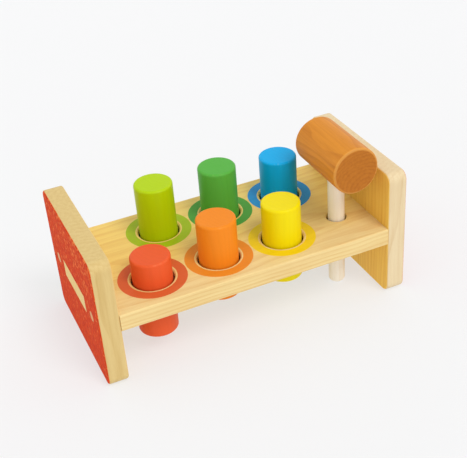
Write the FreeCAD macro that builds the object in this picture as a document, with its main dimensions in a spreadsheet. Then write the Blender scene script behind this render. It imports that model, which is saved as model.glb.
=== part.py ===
"""Wooden hammer bench: two end boards, a plank with six pegs in soft grip rings, and a mallet.

Millimetres. +X runs from the red peg's end to the mallet hole's end, -Y is the front, +Z is up.
The origin is on the ground, at the middle of the bench.
"""
import FreeCAD, Part
import os
import Sketcher

doc = FreeCAD.newDocument("HammerBench")

# ---------------------------------------------------------------- driving dimensions
DIMENSIONS = [
    ("inner_length", 216, "between the end boards"),
    ("bench_width", 121, "front to back"),
    ("board_height", 106, ""),
    ("board_thickness", 15.5, ""),
    ("board_corner", 7, "corner radius of an end board"),
    ("edge_round", 1.6, "softened edges of the boards"),
    ("plank_thickness", 14, ""),
    ("plank_edge", 1.2, "softened long edges of the plank"),
    ("tenon_width", 53, "the plank's tongue that goes through each end board"),
    ("peg_radius", 15, ""),
    ("peg_length", 64.5, ""),
    ("peg_round", 1.8, "softened ends of a peg"),
    ("peg_pitch", 52.7, "along a row; the back row is half a pitch further on"),
    ("row_spacing", 57.2, "front row to back row"),
    ("first_peg_x", -71.8, "front left peg"),
    ("peg_hole_radius", 16.3, ""),
    ("hole_lip", 0.9, "chamfer at each mouth of a peg hole"),
    ("grip_seat_radius", 18.8, "groove inside a peg hole"),
    ("grip_height", 5, "height of the groove and of its ring"),
    ("grip_bore_radius", 15.05, "running fit on the peg"),
    ("grip_round", 1.8, "lead-in of a grip ring"),
    ("red_top", 80, "tops of the pegs above the ground"),
    ("orange_top", 94.5, ""),
    ("yellow_top", 92, ""),
    ("lime_top", 103, ""),
    ("green_top", 102, ""),
    ("blue_top", 96.5, ""),
    ("mallet_x", 83.5, "mallet hole"),
    ("mallet_y", -24, ""),
    ("mallet_hole_radius", 8, ""),
    ("mallet_hole_lip", 0.5, "chamfer at each mouth of the mallet hole"),
    ("head_radius", 18.5, "mallet head"),
    ("head_length", 61, ""),
    ("head_round", 1.8, ""),
    ("head_centre_z", 115, "height of the head's axis when the mallet is put away"),
    ("handle_radius", 6.5, ""),
    ("handle_round", 3, "softened foot of the handle"),
    ("handle_above_axis", 7, "how far the handle goes past the head's axis"),
    ("glue_gap", 0.1, "round the tenons, the dowels and the handle"),
    ("dowel_radius", 4, ""),
    ("dowel_y", 42, "how far the dowels are from the middle, front and back"),
    ("dowel_in_plank", 20, ""),
    ("dowel_chamfer", 0.8, "at the hidden end of a dowel"),
    ("dowel_end_gap", 0.5, "behind the hidden end of a dowel"),
]

sheet = doc.addObject("Spreadsheet::Sheet", "Dimensions")
for row, (alias, value, note) in enumerate(DIMENSIONS, start=1):
    sheet.set(f"A{row}", alias)
    sheet.set(f"B{row}", str(value))
    sheet.set(f"C{row}", note)
    sheet.setAlias(f"B{row}", alias)
doc.recompute()

SHEET_WORDS = [alias for alias, value, note in DIMENSIONS]
size = {alias: float(value) for alias, value, note in DIMENSIONS}
subparts = []


# ---------------------------------------------------------------- helpers
def sheet_formula(text):
    """Turn 'peg_pitch / 2' into 'Dimensions.peg_pitch / 2'."""
    words = text.split()
    return " ".join("Dimensions." + word if word in SHEET_WORDS else word for word in words)


def bind(thing, path, formula):
    thing.setExpression(path, sheet_formula(formula))


def place(thing, x="0", y="0", z="0"):
    """Bind the place of a sub-part to the sheet."""
    for letter, formula in zip("xyz", (x, y, z)):
        bind(thing, f".Placement.Base.{letter}", formula)


def new_body(label):
    body = doc.addObject("PartDesign::Body", label)
    body.Label = label
    subparts.append(body)
    return body


def origin_feature(body, role):
    return next(item for item in body.Origin.OriginFeatures if item.Role == role)


def new_sketch(body, name, role, right="0", up="0", out="0"):
    """A sketch on one of the body's own planes, moved to the right, up and out of that plane."""
    sketch = body.newObject("Sketcher::SketchObject", f"{body.Name}_{name}")
    sketch.AttachmentSupport = [(origin_feature(body, role), "")]
    sketch.MapMode = "FlatFace"
    for letter, formula in zip("xyz", (right, up, out)):
        bind(sketch, f".AttachmentOffset.Base.{letter}", formula)
    return sketch


def draw_rectangle(sketch, width, height):
    """A rectangle centred on the sketch's origin."""
    w, d = 20.0, 10.0
    corners = [FreeCAD.Vector(x, y, 0) for x, y in ((-w, -d), (w, -d), (w, d), (-w, d))]
    for i in range(4):
        sketch.addGeometry(Part.LineSegment(corners[i], corners[(i + 1) % 4]))
    for i in range(4):
        sketch.addConstraint(Sketcher.Constraint("Coincident", i, 2, (i + 1) % 4, 1))
        sketch.addConstraint(Sketcher.Constraint("Vertical" if i % 2 else "Horizontal", i))
    sketch.addConstraint(Sketcher.Constraint("Symmetric", 0, 1, 2, 1, -1, 1))
    across = sketch.addConstraint(Sketcher.Constraint("DistanceX", 0, 1, 0, 2, 2 * w))
    upward = sketch.addConstraint(Sketcher.Constraint("DistanceY", 1, 1, 1, 2, 2 * d))
    bind(sketch, f"Constraints[{across}]", width)
    bind(sketch, f"Constraints[{upward}]", height)


def draw_circle(sketch, radius, right=None, up=None):
    """A circle on the sketch's origin, or the given distances right of it and above it."""
    start = FreeCAD.Vector(30, 30, 0) if right else FreeCAD.Vector(0, 0, 0)
    circle = sketch.addGeometry(Part.Circle(start, FreeCAD.Vector(0, 0, 1), 5))
    if right:
        for kind, formula in (("DistanceX", right), ("DistanceY", up)):
            index = sketch.addConstraint(Sketcher.Constraint(kind, -1, 1, circle, 3, 30.0))
            bind(sketch, f"Constraints[{index}]", formula)
    else:
        sketch.addConstraint(Sketcher.Constraint("Coincident", circle, 3, -1, 1))
    index = sketch.addConstraint(Sketcher.Constraint("Radius", circle, 5.0))
    bind(sketch, f"Constraints[{index}]", radius)


def extrude(body, kind, name, sketch, length=None, midplane=False, reverse=False):
    """A Pad or a Pocket. A Pocket with no length goes through everything."""
    feature = body.newObject(f"PartDesign::{kind}", f"{body.Name}_{name}")
    feature.Profile = sketch
    feature.Midplane = midplane
    feature.Reversed = reverse
    if length is None:
        feature.Type = "ThroughAll"
    else:
        bind(feature, "Length", length)
    doc.recompute()
    return feature


def repeat(body, name, features, role, length, count):
    """Repeat features along one of the body's axes."""
    pattern = body.newObject("PartDesign::LinearPattern", f"{body.Name}_{name}")
    pattern.Originals = features
    pattern.Direction = (origin_feature(body, role), [""])
    bind(pattern, "Length", length)
    pattern.Occurrences = count
    body.Tip = pattern
    doc.recompute()
    return pattern


def edge_names(shape, wanted):
    return [f"Edge{n}" for n, edge in enumerate(shape.Edges, start=1) if wanted(edge)]


def soften(body, kind, name, amount, wanted):
    """A Fillet or a Chamfer on the edges of the body that pass the test."""
    base = body.Tip
    names = edge_names(base.Shape, wanted)
    feature = body.newObject(f"PartDesign::{kind}", f"{body.Name}_{name}")
    feature.Base = (base, names)
    bind(feature, "Radius" if kind == "Fillet" else "Size", amount)
    doc.recompute()
    return feature


def is_circle(edge, radius):
    return edge.Curve.TypeId == "Part::GeomCircle" and abs(edge.Curve.Radius - radius) < 0.01


def is_line_along(edge, letter):
    """True for a straight edge that runs along X, Y or Z."""
    if edge.Curve.TypeId != "Part::GeomLine":
        return False
    return abs(abs(getattr(edge.Curve.Direction, letter)) - 1) < 1e-6


def drill_dowel_holes(body, name, face_x, height, depth, reverse):
    """Two holes in the face at face_x. They go towards -X, or +X when reversed."""
    sketch = new_sketch(body, f"{name}_sketch", "YZ_Plane", "-1 * dowel_y", height, face_x)
    draw_circle(sketch, "dowel_radius + glue_gap")
    hole = extrude(body, "Pocket", name, sketch, depth, reverse=reverse)
    repeat(body, f"{name}_pair", [hole], "Y_Axis", "dowel_y * 2", 2)


# ---------------------------------------------------------------- end boards
def make_end_board(label, side):
    """An upright rounded board with a mortise. side is -1 for the left one and +1 for the right one."""
    body = new_body(label)
    outline = new_sketch(body, "outline", "YZ_Plane", up="board_height / 2")
    draw_rectangle(outline, "bench_width", "board_height")
    extrude(body, "Pad", "board", outline, "board_thickness", reverse=side < 0)
    soften(body, "Fillet", "corners", "board_corner", lambda edge: is_line_along(edge, "x"))
    soften(body, "Fillet", "edges", "edge_round", lambda edge: not is_line_along(edge, "x"))
    mortise = new_sketch(body, "mortise_sketch", "YZ_Plane", up="board_height / 2")
    draw_rectangle(mortise, "tenon_width + 2 * glue_gap", "plank_thickness + 2 * glue_gap")
    extrude(body, "Pocket", "mortise", mortise, "board_thickness * 2", reverse=side > 0)
    drill_dowel_holes(body, "dowel_hole", "0", "board_height / 2", "board_thickness * 2", side > 0)
    place(body, x=f"inner_length / 2 * {side}")


make_end_board("left_end_board", -1)
make_end_board("right_end_board", 1)


# ---------------------------------------------------------------- plank
def make_plank():
    """The plank, at its own mid-height: a tenon at each end, grooved peg holes and the mallet hole."""
    body = new_body("plank")
    outline = new_sketch(body, "outline", "XY_Plane")
    draw_rectangle(outline, "inner_length", "bench_width")
    extrude(body, "Pad", "board", outline, "plank_thickness", midplane=True)
    soften(body, "Fillet", "edges", "plank_edge", lambda edge: is_line_along(edge, "x"))
    tongue = new_sketch(body, "tenon_sketch", "XY_Plane")
    draw_rectangle(tongue, "inner_length + 2 * board_thickness", "tenon_width")
    extrude(body, "Pad", "tenons", tongue, "plank_thickness", midplane=True)

    holes = []
    for name, radius, length in (("peg_hole", "peg_hole_radius", "plank_thickness * 2"),
                                 ("grip_seat", "grip_seat_radius", "grip_height")):
        sketch = new_sketch(body, f"{name}_sketch", "XY_Plane", "first_peg_x", "row_spacing / -2")
        draw_circle(sketch, radius)
        draw_circle(sketch, radius, "peg_pitch / 2", "row_spacing")
        holes.append(extrude(body, "Pocket", name, sketch, length, midplane=True))
    repeat(body, "peg_rows", holes, "X_Axis", "peg_pitch * 2", 3)

    sketch = new_sketch(body, "mallet_hole_sketch", "XY_Plane", "mallet_x", "mallet_y")
    draw_circle(sketch, "mallet_hole_radius")
    extrude(body, "Pocket", "mallet_hole", sketch, "plank_thickness * 2", midplane=True)

    def is_mouth(edge, radius):
        at_face = abs(abs(edge.CenterOfMass.z) - size["plank_thickness"] / 2) < 0.01
        return at_face and is_circle(edge, radius)

    soften(body, "Chamfer", "peg_hole_lips", "hole_lip",
           lambda edge: is_mouth(edge, size["peg_hole_radius"]))
    soften(body, "Chamfer", "mallet_hole_lip", "mallet_hole_lip",
           lambda edge: is_mouth(edge, size["mallet_hole_radius"]))
    drill_dowel_holes(body, "left_dowel_hole", "inner_length / -2", "0", "dowel_in_plank", True)
    drill_dowel_holes(body, "right_dowel_hole", "inner_length / 2", "0", "dowel_in_plank", False)
    place(body, z="board_height / 2")


make_plank()


# ---------------------------------------------------------------- dowels
def make_dowels(label, side):
    """The two glued dowels that pin one end board to the plank, flush with the board's outer face."""
    dowels = []
    for row in (-1, 1):
        name = f"{label}_{'front' if row < 0 else 'back'}"
        rod = doc.addObject("Part::Cylinder", f"{name}_rod")
        bind(rod, "Radius", "dowel_radius")
        bind(rod, "Height", "board_thickness + dowel_in_plank - dowel_end_gap")
        place(rod, y=f"dowel_y * {row}")
        rod.Placement.Rotation = FreeCAD.Rotation(FreeCAD.Vector(0, 1, 0), 90 * side)
        doc.recompute()
        hidden_end = edge_names(rod.Shape, lambda edge: abs(edge.CenterOfMass.x) < 0.01)
        dowel = doc.addObject("Part::Chamfer", name)
        dowel.Base = rod
        dowel.Edges = [(int(edge[4:]), size["dowel_chamfer"], size["dowel_chamfer"])
                       for edge in hidden_end]
        dowels.append(dowel)
    group = doc.addObject("Part::Compound", label)
    group.Label = label
    group.Links = dowels
    place(group, f"( inner_length / 2 - dowel_in_plank + dowel_end_gap ) * {side}", z="board_height / 2")
    subparts.append(group)


make_dowels("left_dowels", -1)
make_dowels("right_dowels", 1)


# ---------------------------------------------------------------- pegs and their grip rings
def make_peg(colour, x, y):
    body = new_body(f"{colour}_peg")
    outline = new_sketch(body, "outline", "XY_Plane")
    draw_circle(outline, "peg_radius")
    extrude(body, "Pad", "rod", outline, "peg_length")
    soften(body, "Fillet", "ends", "peg_round", lambda edge: is_circle(edge, size["peg_radius"]))
    place(body, x, y, f"{colour}_top - peg_length")


def make_grip_ring(colour, x, y):
    """A soft ring in the groove of a peg hole. It holds the peg by friction."""
    body = new_body(f"{colour}_grip_ring")
    outline = new_sketch(body, "outline", "XY_Plane")
    draw_circle(outline, "grip_seat_radius")
    draw_circle(outline, "grip_bore_radius")
    extrude(body, "Pad", "ring", outline, "grip_height", midplane=True)
    soften(body, "Fillet", "lead_in", "grip_round",
           lambda edge: is_circle(edge, size["grip_bore_radius"]))
    place(body, x, y, "board_height / 2")


ROWS = [
    (("red", "orange", "yellow"), "0", "row_spacing / -2"),
    (("lime", "green", "blue"), "0.5", "row_spacing / 2"),
]
for colours, pitches_on, row_y in ROWS:
    for n, colour in enumerate(colours):
        peg_x = f"first_peg_x + peg_pitch * ( {n} + {pitches_on} )"
        make_peg(colour, peg_x, row_y)
        make_grip_ring(colour, peg_x, row_y)


# ---------------------------------------------------------------- mallet
def make_mallet_head():
    """A barrel along Y with a blind hole from below for the handle."""
    body = new_body("mallet_head")
    outline = new_sketch(body, "outline", "XZ_Plane")
    draw_circle(outline, "head_radius")
    extrude(body, "Pad", "barrel", outline, "head_length", midplane=True)
    soften(body, "Fillet", "ends", "head_round", lambda edge: is_circle(edge, size["head_radius"]))
    socket = new_sketch(body, "socket_sketch", "XY_Plane", out="handle_above_axis + glue_gap")
    draw_circle(socket, "handle_radius + glue_gap")
    extrude(body, "Pocket", "socket", socket)
    place(body, "mallet_x", "mallet_y", "head_centre_z")


def make_mallet_handle():
    """A straight round handle. Its foot stands on the ground when the mallet is put away."""
    body = new_body("mallet_handle")
    outline = new_sketch(body, "outline", "XY_Plane")
    draw_circle(outline, "handle_radius")
    extrude(body, "Pad", "rod", outline, "head_centre_z + handle_above_axis")
    soften(body, "Fillet", "foot", "handle_round",
           lambda edge: is_circle(edge, size["handle_radius"]) and abs(edge.CenterOfMass.z) < 0.01)
    place(body, "mallet_x", "mallet_y")


make_mallet_head()
make_mallet_handle()

# ---------------------------------------------------------------- checks and export
doc.recompute()
for item in doc.Objects:
    if "Invalid" in item.State or "Error" in item.State:
        raise RuntimeError(f"{item.Label} failed: {item.State}")
os.makedirs("parts", exist_ok=True)
for part in subparts:
    if part.Shape.isNull() or not part.Shape.isValid():
        raise RuntimeError(f"{part.Label} has no valid shape")
for part in subparts:
    part.Shape.exportStep(f"parts/{part.Label}.step")
    box = part.Shape.BoundBox
    print(f"{part.Label:18s} {len(part.Shape.Solids)} solid(s) {part.Shape.Volume / 1000:8.2f} cm3"
          f"  z {box.ZMin:.1f} to {box.ZMax:.1f}")
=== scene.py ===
import math

import bpy
from mathutils import Matrix, Vector


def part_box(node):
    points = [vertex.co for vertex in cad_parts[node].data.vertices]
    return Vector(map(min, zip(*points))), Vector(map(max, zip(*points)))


# A wooden hammer bench. Every CAD node keeps its shape and gets a procedural material.
# Metres, in the CAD's frame: +X towards the mallet hole's end, -Y the front, +Z up.
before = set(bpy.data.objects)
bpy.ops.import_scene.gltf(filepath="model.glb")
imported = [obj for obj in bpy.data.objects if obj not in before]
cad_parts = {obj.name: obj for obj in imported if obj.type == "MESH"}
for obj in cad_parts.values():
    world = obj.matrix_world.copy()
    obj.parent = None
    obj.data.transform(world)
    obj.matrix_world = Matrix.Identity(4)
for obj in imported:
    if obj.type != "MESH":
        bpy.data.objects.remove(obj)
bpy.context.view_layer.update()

MM = 0.001
AXES = "xyz"
LEFT, RIGHT = -1, 1
COLOURS = ("red", "orange", "yellow", "lime", "green", "blue")


# ------------------------------------------------------------------ sizes
def middle(node):
    low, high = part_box(node)
    return (low + high) / 2


board_low, board_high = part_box("right_end_board")
BOARD_INNER_X = board_low.x
BOARD_OUTER_X = board_high.x
plank_low, plank_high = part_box("plank")
PLANK_MIDDLE_Z = (plank_low.z + plank_high.z) / 2
PLANK_HALF = (plank_high.z - plank_low.z) / 2

FIBRE_DEPTH = 0.05 * MM
RUBBER_GRAIN_DEPTH = 0.04 * MM


# ------------------------------------------------------------------ colours
def srgb(red, green, blue):
    """A colour given as 0 to 255 display values, as linear RGBA."""
    def linear(value):
        value /= 255
        return value / 12.92 if value <= 0.04045 else ((value + 0.055) / 1.055) ** 2.4
    return (linear(red), linear(green), linear(blue), 1.0)


PEG_PAINT = {
    "red": srgb(232, 92, 45),
    "orange": srgb(240, 137, 28),
    "yellow": srgb(240, 220, 0),
    "lime": srgb(178, 208, 0),
    "green": srgb(86, 174, 64),
    "blue": srgb(0, 170, 230),
}
# The rings are a thinner coat on the plank, a little deeper than the pegs.
RING_PAINT = {
    "red": srgb(222, 98, 46),
    "orange": srgb(238, 142, 32),
    "yellow": srgb(246, 210, 0),
    "lime": srgb(166, 192, 16),
    "green": srgb(74, 160, 56),
    "blue": srgb(0, 146, 206),
}

# Each wood has a light tone and a dark one, between which its figure runs.
PLANK = (srgb(237, 212, 150), srgb(212, 165, 93))
LEFT_EDGES = (srgb(220, 194, 133), srgb(192, 154, 84))
RIGHT_EDGES = (srgb(231, 212, 173), srgb(203, 167, 113))
# The inner faces are a deeper gold than the edges. This is partly the face's own grain and partly
# painted shade and warm light bounced off the plank, strongest on the right board.
LEFT_INNER_FACE_SHADED = (srgb(240, 206, 136), srgb(208, 156, 82))
RIGHT_INNER_FACE_SHADED = (srgb(247, 203, 94), srgb(218, 154, 52))
HEAD = (srgb(222, 143, 42), srgb(174, 94, 16))
HANDLE = (srgb(250, 242, 226), srgb(232, 214, 184))
DOWEL = (srgb(232, 170, 104), srgb(190, 118, 60))

# Tints that multiply the wood's colour.
# Painted warm light on the back of the plank.
WARM_LIGHT_TINT = (1.05, 0.98, 0.6, 1.0)
END_GRAIN = srgb(216, 204, 196)

# The colour of the painted highlight on the mallet head's rims.
HEAD_RIM_HIGHLIGHT = srgb(236, 172, 86)
STAIN_DEEP = srgb(196, 44, 12)
STAIN_THIN = srgb(226, 76, 24)
FLECK = srgb(250, 150, 76)
RUBBER_DARK = srgb(34, 30, 27)
RUBBER_LIGHT = srgb(66, 60, 54)
PAPER = srgb(150, 150, 151)
WHITE = (1.0, 1.0, 1.0, 1.0)

# ------------------------------------------------------------------ gloss, the same all over a surface
LACQUER = {"specular_ior_level": 0.16, "coat_weight": 0.04, "coat_roughness": 0.26}
SATIN_PAINT = {"specular_ior_level": 0.14, "coat_weight": 0.03, "coat_roughness": 0.3}
MATT = {"specular_ior_level": 0.1}


# ------------------------------------------------------------------ a short way to write shader nodes
class Shader:
    """One material. Each call adds nodes and returns an output, and takes outputs or plain values."""

    # The colour sockets of a Mix node, which share their names with its other sockets.
    MIX_FIRST, MIX_SECOND, MIX_RESULT = 6, 7, 2

    def __init__(self, name):
        self.material = bpy.data.materials.new(name)
        self.material.use_nodes = True
        self.tree = self.material.node_tree
        self.surface = self.tree.nodes["Principled BSDF"]
        coordinates = self.add("ShaderNodeTexCoord")
        self.position = coordinates.outputs["Object"]
        self.normal = coordinates.outputs["Normal"]

    def add(self, kind, **settings):
        node = self.tree.nodes.new(kind)
        for name, value in settings.items():
            setattr(node, name, value)
        return node

    def feed(self, socket, value):
        if isinstance(value, bpy.types.NodeSocket):
            self.tree.links.new(value, socket)
        else:
            socket.default_value = value

    def set(self, **inputs):
        """Feed the Principled shader: coat_weight=0.1 sets Coat Weight."""
        for name, value in inputs.items():
            title = name.replace("_", " ").title().replace("Ior", "IOR")
            self.feed(self.surface.inputs[title], value)

    def bump(self, height, strength, depth=FIBRE_DEPTH):
        node = self.add("ShaderNodeBump")
        self.feed(node.inputs["Height"], height)
        self.feed(node.inputs["Distance"], depth)
        self.feed(node.inputs["Strength"], strength)
        self.set(normal=node.outputs["Normal"])

    def math(self, operation, *values):
        node = self.add("ShaderNodeMath", operation=operation)
        for socket, value in zip(node.inputs, values):
            self.feed(socket, value)
        return node.outputs["Value"]

    def total(self, first, *others):
        for value in others:
            first = self.math("ADD", first, value)
        return first

    def product(self, first, *others):
        for value in others:
            first = self.math("MULTIPLY", first, value)
        return first

    def vector(self, operation, *values):
        node = self.add("ShaderNodeVectorMath", operation=operation)
        for socket, value in zip(node.inputs, values):
            self.feed(socket, value)
        is_number = operation in ("LENGTH", "DISTANCE", "DOT_PRODUCT")
        return node.outputs["Value" if is_number else "Vector"]

    def component(self, vector, axis):
        """One of the three numbers in a vector. axis is x, y or z."""
        node = self.add("ShaderNodeSeparateXYZ")
        self.feed(node.inputs["Vector"], vector)
        return node.outputs[axis.upper()]

    def step(self, value, start, end):
        """Rises smoothly from 0 at start to 1 at end, or falls where start is above end."""
        node = self.add("ShaderNodeMapRange", interpolation_type="SMOOTHSTEP")
        self.feed(node.inputs["Value"], value)
        self.feed(node.inputs["From Min"], min(start, end))
        self.feed(node.inputs["From Max"], max(start, end))
        self.feed(node.inputs["To Min"], float(start > end))
        self.feed(node.inputs["To Max"], float(start < end))
        return node.outputs["Result"]

    def spread(self, value, low, high):
        """Stretch a value that runs from 0 to 1, so that it runs from low to high."""
        return self.math("MULTIPLY_ADD", value, high - low, low)

    def swing(self, value, amount):
        """Stretch a value that runs from 0 to 1, so that it runs from -amount to amount."""
        return self.spread(value, -amount, amount)

    def noise(self, scale, detail=2.0, roughness=0.5, place=None):
        """Smooth noise, from 0 to 1. scale is how many features are in a metre: one number, or one
        for each axis."""
        place = self.position if place is None else place
        scale = scale if isinstance(scale, tuple) else (scale,) * 3
        node = self.add("ShaderNodeTexNoise")
        self.feed(node.inputs["Vector"], self.vector("MULTIPLY", place, scale))
        self.feed(node.inputs["Scale"], 1.0)
        self.feed(node.inputs["Detail"], detail)
        self.feed(node.inputs["Roughness"], roughness)
        return node.outputs[0]

    def mix(self, factor, first, second, blend="MIX"):
        node = self.add("ShaderNodeMix", data_type="RGBA", blend_type=blend)
        self.feed(node.inputs["Factor"], factor)
        self.feed(node.inputs[self.MIX_FIRST], first)
        self.feed(node.inputs[self.MIX_SECOND], second)
        return node.outputs[self.MIX_RESULT]


# ------------------------------------------------------------------ wood
# How much each part of the figure darkens the wood.
RING_SHADE = 0.36
STREAK_SHADE = 0.2
PORE_SHADE = 0.2
FIBRE_SHADE = (-0.14, 0.28)
CLOUD_SHADE = 0.12

# How high each part of the figure stands, where a pore is 1 deep.
RING_HEIGHT = 0.35
FIBRE_HEIGHT = 0.6

# How bright paint stays over the darkest wood.
DEEP_PAINT = 0.62


def scale_for(grain, along, across):
    """The noise scale for features along mm long with the grain, and across mm wide over it."""
    return tuple(1 / (along * MM) if axis == grain else 1 / (across * MM) for axis in AXES)


def wood_figure(sh, grain, pith, ring_gap, seed, end_contrast=1.0):
    """The figure of one log. Returns how dark the wood is, from 0 to 1, and how high its surface is.
    end_contrast below 1 softens the rings where the surface cuts straight across the grain."""
    with_grain = tuple(float(axis == grain) for axis in AXES)
    over_grain = tuple(float(axis != grain) for axis in AXES)
    place = sh.vector("SUBTRACT", sh.position, pith)
    shifted = sh.vector("ADD", place, (seed, seed * 0.7, seed * 1.3))

    def grained(along, across, detail=2.0):
        return sh.noise(scale_for(grain, along, across), detail, place=shifted)

    # Yearly rings round the pith. Each grows darker and ends sharply, and they wander and ripple.
    radius = sh.vector("LENGTH", sh.vector("MULTIPLY", place, over_grain))
    wander = sh.swing(grained(along=160, across=40), 9 * MM)
    ripple = sh.swing(grained(along=30, across=5), 0.5 * MM)
    growth = sh.math("FRACT", sh.math("DIVIDE", sh.total(radius, wander, ripple), ring_gap))
    late_wood = sh.product(sh.step(growth, 0.35, 0.93), sh.step(growth, 1.0, 0.94))
    patchy = sh.spread(grained(along=90, across=9), 0.1, 1.3)
    facing_end = sh.math("ABSOLUTE", sh.vector("DOT_PRODUCT", sh.normal, with_grain))
    rings = sh.product(late_wood, patchy, sh.spread(facing_end, 1.0, end_contrast))

    streaks = sh.step(grained(along=70, across=2.4, detail=3.0), 0.34, 0.7)
    fibres = grained(along=12, across=0.45, detail=3.0)
    pores = sh.step(grained(along=3.2, across=0.32), 0.64, 0.74)
    dark = sh.total(sh.product(rings, RING_SHADE), sh.product(streaks, STREAK_SHADE),
                    sh.spread(fibres, *FIBRE_SHADE), sh.product(pores, PORE_SHADE))
    between_rings = sh.math("SUBTRACT", sh.product(fibres, FIBRE_HEIGHT), pores)
    height = sh.total(between_rings, sh.product(rings, RING_HEIGHT))
    return dark, height


def wood(name, tones, grain, pith, ring_gap, seed, end_contrast=1.0):
    """Start a wood material. Returns its shader, its colour and the height of its surface."""
    sh = Shader(name)
    shade, height = wood_figure(sh, grain, pith, ring_gap, seed, end_contrast)
    cloud = sh.noise(14.0)
    return sh, sh.mix(sh.total(shade, sh.swing(cloud, CLOUD_SHADE)), *tones), height


def lacquered(sh, colour, height):
    """Finish a wood material with a thin clear satin coat, through which the fibres still show."""
    cloud = sh.noise(60.0, detail=3.0)
    sh.set(base_color=colour, roughness=sh.spread(cloud, 0.38, 0.58), **LACQUER)
    sh.bump(height, strength=0.55)
    return sh.material


def tint(sh, paint, amount_of_wood, shade):
    """Paint through which the grain just shows: darker where the wood below is dark."""
    deep = tuple(channel * DEEP_PAINT for channel in paint[:3]) + (1.0,)
    return sh.mix(sh.product(shade, amount_of_wood), paint, deep)


def to_end_and_rim(sh, node, axis):
    """How far a point is past the flat end of a rod, and past the rim of that end, in metres.
    Both are below 0 inside it. axis is the one that the rod lies along."""
    low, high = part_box(node)
    size = high - low
    offset = sh.vector("SUBTRACT", sh.position, tuple((low + high) / 2))
    along = sh.math("ABSOLUTE", sh.component(offset, axis))
    across = sh.vector("MULTIPLY", offset, tuple(float(letter != axis) for letter in AXES))
    to_end = sh.math("SUBTRACT", along, size[AXES.index(axis)] / 2)
    to_side = sh.math("SUBTRACT", sh.vector("LENGTH", across), size.x / 2)
    return to_end, sh.total(to_side, to_end)


# ------------------------------------------------------------------ plank with its painted rings
# The painted ring round each peg hole. Natural wood shows inside it, at the hole's chamfered mouth.
RING_INNER = 18.3 * MM
RING_OUTER = 25.8 * MM
RING_FADE = 0.12 * MM
RING_WOBBLE = 0.22 * MM
RING_WORN = 0.02
RING_GRAIN = 0.3
RING_ROUGHER = 0.12
RING_THICKNESS = 1.6
FIGURE_UNDER_RING = 0.45

# Painted warm light, standing in for light bounced onto the back of the plank, begins behind its front
# edge and is full at the middle.
WARM_LIGHT_STARTS_Y = -54 * MM
WARM_LIGHT_FULL_Y = 0.0
WARM_LIGHT_DRIFT = 12 * MM


def plank_material():
    """Pale wood along the front edge, turning golden behind it with painted warm light, under six
    painted rings.
    """
    sh, colour, height = wood("plank_wood_rings", PLANK, grain="x", pith=(0, -0.02, -0.09),
                              ring_gap=3.6 * MM, seed=3.1, end_contrast=0.5)
    # Painted warm light: the plank turns golden behind its front edge.
    drift = sh.swing(sh.noise(scale_for("x", along=120, across=30)), WARM_LIGHT_DRIFT)
    warm_light = sh.step(sh.total(sh.component(sh.position, "y"), drift), WARM_LIGHT_STARTS_Y, WARM_LIGHT_FULL_Y)
    colour = sh.mix(warm_light, colour, WARM_LIGHT_TINT, "MULTIPLY")

    above_middle = sh.math("SUBTRACT", sh.component(sh.position, "z"), PLANK_MIDDLE_Z)
    from_middle = sh.math("ABSOLUTE", above_middle)
    on_face = sh.step(from_middle, PLANK_HALF - 0.35 * MM, PLANK_HALF - 0.15 * MM)
    brush = sh.noise(700.0)
    wobble = sh.swing(brush, RING_WOBBLE)
    flat = sh.vector("MULTIPLY", sh.position, (1.0, 1.0, 0.0))
    covered = 0.0
    for name in COLOURS:
        centre = middle(f"{name}_peg")
        distance = sh.total(sh.vector("DISTANCE", flat, (centre.x, centre.y, 0.0)), wobble)
        inside = sh.step(distance, RING_OUTER + RING_FADE, RING_OUTER - RING_FADE)
        outside = sh.step(distance, RING_INNER - RING_FADE, RING_INNER + RING_FADE)
        ring = sh.product(inside, outside, on_face)
        paint = tint(sh, RING_PAINT[name], RING_GRAIN, sh.total(height, 0.4))
        colour = sh.mix(ring, colour, sh.mix(RING_WORN, paint, colour))
        covered = sh.total(covered, ring)

    roughness = sh.total(sh.spread(brush, 0.34, 0.5), sh.product(covered, RING_ROUGHER))
    sh.set(base_color=colour, roughness=roughness, **LACQUER)
    filled = sh.product(height, sh.spread(covered, 1.0, FIGURE_UNDER_RING))
    sh.bump(sh.total(filled, sh.product(covered, RING_THICKNESS)), strength=0.6)
    return sh.material


# ------------------------------------------------------------------ end boards with a red outer face
STAIN_WOBBLE = 0.25 * MM
STAIN_ROUGHER = 0.35
FLECK_SHIFT = (0.3, 0.1, 0.7)
FLECK_STRENGTH = 0.6
# More flecks show, the higher the place: this much more in a metre, from this much at the ground.
FLECK_RISE, FLECK_AT_GROUND = 0.9, -0.075


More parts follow.
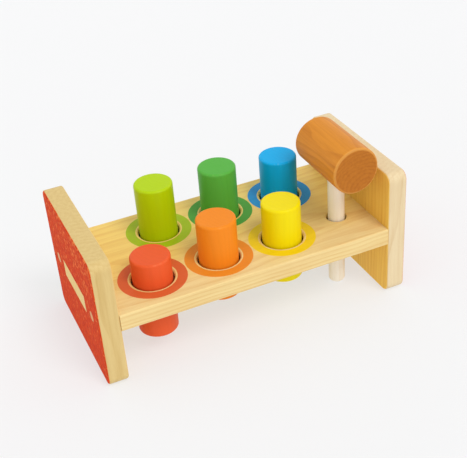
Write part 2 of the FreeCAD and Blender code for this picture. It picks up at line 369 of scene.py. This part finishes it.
def end_board_material(side):
    """Upright grain, and a thin red stain on the outer face. side is LEFT or RIGHT."""
    is_left = side == LEFT
    sh = Shader("left_board_wood" if is_left else "right_board_wood")
    shade, height = wood_figure(sh, grain="z", pith=(side * 0.1, 0.03, 0), ring_gap=4.2 * MM,
                                seed=5.7 + side, end_contrast=0.35)
    edges = sh.mix(shade, *(LEFT_EDGES if is_left else RIGHT_EDGES))
    # The inner face's deeper gold is partly its own grain and partly painted shade and warm bounced
    # light.
    shaded_inner_face = sh.mix(shade, *(LEFT_INNER_FACE_SHADED if is_left else RIGHT_INNER_FACE_SHADED))
    outward = sh.product(sh.component(sh.position, "x"), float(side))
    on_inner_face = sh.step(outward, BOARD_INNER_X + 1.0 * MM, BOARD_INNER_X + 0.1 * MM)
    colour = sh.mix(on_inner_face, edges, shaded_inner_face)

    # The stain ends in a slightly uneven line, and shows paler flecks, most of them near the top.
    grainy = sh.noise(scale_for("z", along=5, across=1.2), detail=3.0)
    uneven = sh.total(outward, sh.swing(grainy, STAIN_WOBBLE))
    on_red_face = sh.step(uneven, BOARD_OUTER_X - 0.85 * MM, BOARD_OUTER_X - 0.5 * MM)
    stain = sh.mix(sh.step(grainy, 0.34, 0.62), STAIN_DEEP, STAIN_THIN)
    fleck_place = sh.vector("ADD", sh.position, FLECK_SHIFT)
    speckle = sh.noise(scale_for("z", along=3.0, across=2.7), roughness=0.55, place=fleck_place)
    up = sh.component(sh.position, "z")
    more_above = sh.math("MULTIPLY_ADD", up, FLECK_RISE, FLECK_AT_GROUND)
    flecks = sh.step(sh.total(speckle, more_above), 0.56, 0.66)
    stain = sh.mix(sh.product(flecks, FLECK_STRENGTH), stain, FLECK)

    roughness = sh.total(sh.spread(grainy, 0.4, 0.54), sh.product(on_red_face, STAIN_ROUGHER))
    sh.set(base_color=sh.mix(on_red_face, colour, stain), roughness=roughness, **MATT)
    sh.bump(height, strength=0.55)
    return sh.material


# ------------------------------------------------------------------ pegs and their grip rings
PEG_GRAIN = 0.2
RIM_WEAR = 0.22
WORN_PAINT = 0.55  # how much of the paint is left where it is worn, over PLANK's light tone


def peg_material(name):
    """Satin paint on a turned rod: faint grain, and paint rubbed thin on the two rims."""
    node = f"{name}_peg"
    centre = middle(node)
    paint, bare_wood = PEG_PAINT[name], PLANK[0]
    sh = Shader(f"{node}_paint")
    pith = (centre.x + 0.03, centre.y + 0.012, 0)
    shade, height = wood_figure(sh, "z", pith, ring_gap=3.4 * MM, seed=centre.x * 40)
    _, to_rim = to_end_and_rim(sh, node, "z")
    rim = sh.step(to_rim, -1.9 * MM, -0.7 * MM)
    rubbed = sh.step(sh.noise(420.0, detail=4.0), 0.46, 0.8)
    worn = tuple(WORN_PAINT * over + (1 - WORN_PAINT) * under for over, under in zip(paint, bare_wood))
    colour = sh.mix(sh.product(rim, rubbed, RIM_WEAR), tint(sh, paint, PEG_GRAIN, shade), worn)
    cloud = sh.noise(90.0, detail=3.0)
    sh.set(base_color=colour, roughness=sh.spread(cloud, 0.36, 0.52), **SATIN_PAINT)
    sh.bump(height, strength=0.4)
    return sh.material


def grip_material():
    """Dark rubber with a fine grain."""
    sh = Shader("grip_ring_rubber")
    cloud = sh.noise(900.0, detail=3.0)
    sh.set(base_color=sh.mix(cloud, RUBBER_DARK, RUBBER_LIGHT), roughness=0.8)
    sh.bump(cloud, strength=0.5, depth=RUBBER_GRAIN_DEPTH)
    return sh.material


# ------------------------------------------------------------------ mallet and dowels
# How strong the painted highlight on the mallet head's rims is.
HEAD_RIM_HIGHLIGHT_STRENGTH = 0.5


def mallet_head_material():
    """Warm brown turned wood. Its grain runs along the head, so the faces show end grain, with a
    painted highlight on their rims.
    """
    centre = middle("mallet_head")
    pith = (centre.x + 0.006, 0, centre.z - 0.017)
    sh, colour, height = wood("mallet_head_wood", HEAD, "y", pith, ring_gap=2.8 * MM, seed=8.3,
                              end_contrast=0.75)
    to_end, to_rim = to_end_and_rim(sh, "mallet_head", "y")
    on_end = sh.step(to_end, -1.2 * MM, -0.3 * MM)
    colour = sh.mix(on_end, colour, END_GRAIN, "MULTIPLY")
    # A painted highlight along the rounded rim of each end.
    rim_highlight = sh.step(to_rim, -2.0 * MM, -1.0 * MM)
    colour = sh.mix(sh.product(rim_highlight, HEAD_RIM_HIGHLIGHT_STRENGTH), colour, HEAD_RIM_HIGHLIGHT)
    return lacquered(sh, colour, height)


def mallet_handle_material():
    """Pale wood with upright grain."""
    centre = middle("mallet_handle")
    pith = (centre.x + 0.02, centre.y + 0.03, 0)
    return lacquered(*wood("mallet_handle_wood", HANDLE, "z", pith, ring_gap=3.0 * MM, seed=2.2))


def dowel_material():
    """Darker wood, of which only the ends show."""
    pith = (0, 0.041, 0.05)
    return lacquered(*wood("dowel_wood", DOWEL, "x", pith, ring_gap=1.3 * MM, seed=6.4))


def dress(node, material):
    for material_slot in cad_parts[node].material_slots:
        material_slot.material = material


dress("plank", plank_material())
dress("left_end_board", end_board_material(LEFT))
dress("right_end_board", end_board_material(RIGHT))
dowel_finish = dowel_material()
dress("left_dowels", dowel_finish)
dress("right_dowels", dowel_finish)
grip_finish = grip_material()
for colour_name in COLOURS:
    dress(f"{colour_name}_peg", peg_material(colour_name))
    dress(f"{colour_name}_grip_ring", grip_finish)
dress("mallet_head", mallet_head_material())
dress("mallet_handle", mallet_handle_material())

# ------------------------------------------------------------------ room, light and camera
ROOM_HALF = 7.0
WALL_TOP = 4.0
FLOOR_Z = -0.2 * MM
FLOOR_GLOW = 0.58
WALL_GLOW = 0.64

SKY_COLOUR = (0.96, 0.98, 1.0, 1.0)
SKY_STRENGTH = 0.8
SUN_FROM = (0.2, -0.56, 0.82)
SUN_STRENGTH = 1.2
SUN_WIDTH = math.radians(26)
SUN_COLOUR = (1.0, 0.98, 0.95)

AZIMUTH, ELEVATION, ROLL = (math.radians(angle) for angle in (-22.0, 33.0, -4.5))
CAMERA_TARGET = Vector((6, 0, 60)) * MM
CAMERA_DISTANCE = 745 * MM
LENS = 74


def show(name, data):
    """Put a mesh, a light or a camera in the scene."""
    thing = bpy.data.objects.new(name, data)
    bpy.context.scene.collection.objects.link(thing)
    return thing


def aimed(position, target, roll=0.0):
    """A matrix at position whose -Z looks at target, with the world's +Z up, turned by roll."""
    back = (Vector(position) - Vector(target)).normalized()
    right = Vector((0, 0, 1)).cross(back).normalized()
    up = back.cross(right)
    turn = Matrix((right, up, back)).transposed() @ Matrix.Rotation(roll, 3, "Z")
    return Matrix.Translation(position) @ turn.to_4x4()


def make_room():
    """A pale floor that glows a little, so that shadows stay faint, and four far walls like it."""
    square = [(x * ROOM_HALF, y * ROOM_HALF) for x, y in ((-1, -1), (1, -1), (1, 1), (-1, 1))]
    corners = [(x, y, z) for z in (FLOOR_Z, WALL_TOP) for x, y in square]
    ground = [(0, 1, 2, 3)]
    walls = [(i, i + 4, (i + 1) % 4 + 4, (i + 1) % 4) for i in range(4)]
    mesh = bpy.data.meshes.new("floor")
    mesh.from_pydata(corners, [], ground + walls)
    for name, glow in (("floor_paper", FLOOR_GLOW), ("wall_paper", WALL_GLOW)):
        sh = Shader(name)
        sh.set(base_color=PAPER, roughness=0.9, emission_color=WHITE, emission_strength=glow)
        mesh.materials.append(sh.material)
    for wall in mesh.polygons[1:]:
        wall.material_index = 1
    floor = show("floor", mesh)


def make_light():
    """An even pale sky and one wide, soft sun from the front."""
    world = bpy.data.worlds.new("studio")
    world.use_nodes = True
    sky = world.node_tree.nodes["Background"]
    sky.inputs["Color"].default_value = SKY_COLOUR
    sky.inputs["Strength"].default_value = SKY_STRENGTH
    bpy.context.scene.world = world
    sun = bpy.data.lights.new("key", "SUN")
    sun.energy = SUN_STRENGTH
    sun.angle = SUN_WIDTH
    sun.color = SUN_COLOUR
    show("key", sun).matrix_world = aimed(SUN_FROM, (0, 0, 0))
    bpy.context.scene.view_settings.view_transform = "Standard"


def make_camera():
    """A camera at the photograph's viewing angle."""
    back = Vector((math.sin(AZIMUTH) * math.cos(ELEVATION),
                   -math.cos(AZIMUTH) * math.cos(ELEVATION),
                   math.sin(ELEVATION)))
    data = bpy.data.cameras.new("camera")
    data.lens = LENS
    camera = show("camera", data)
    camera.matrix_world = aimed(CAMERA_TARGET + back * CAMERA_DISTANCE, CAMERA_TARGET, ROLL)
    bpy.context.scene.camera = camera


make_room()
make_light()
make_camera()
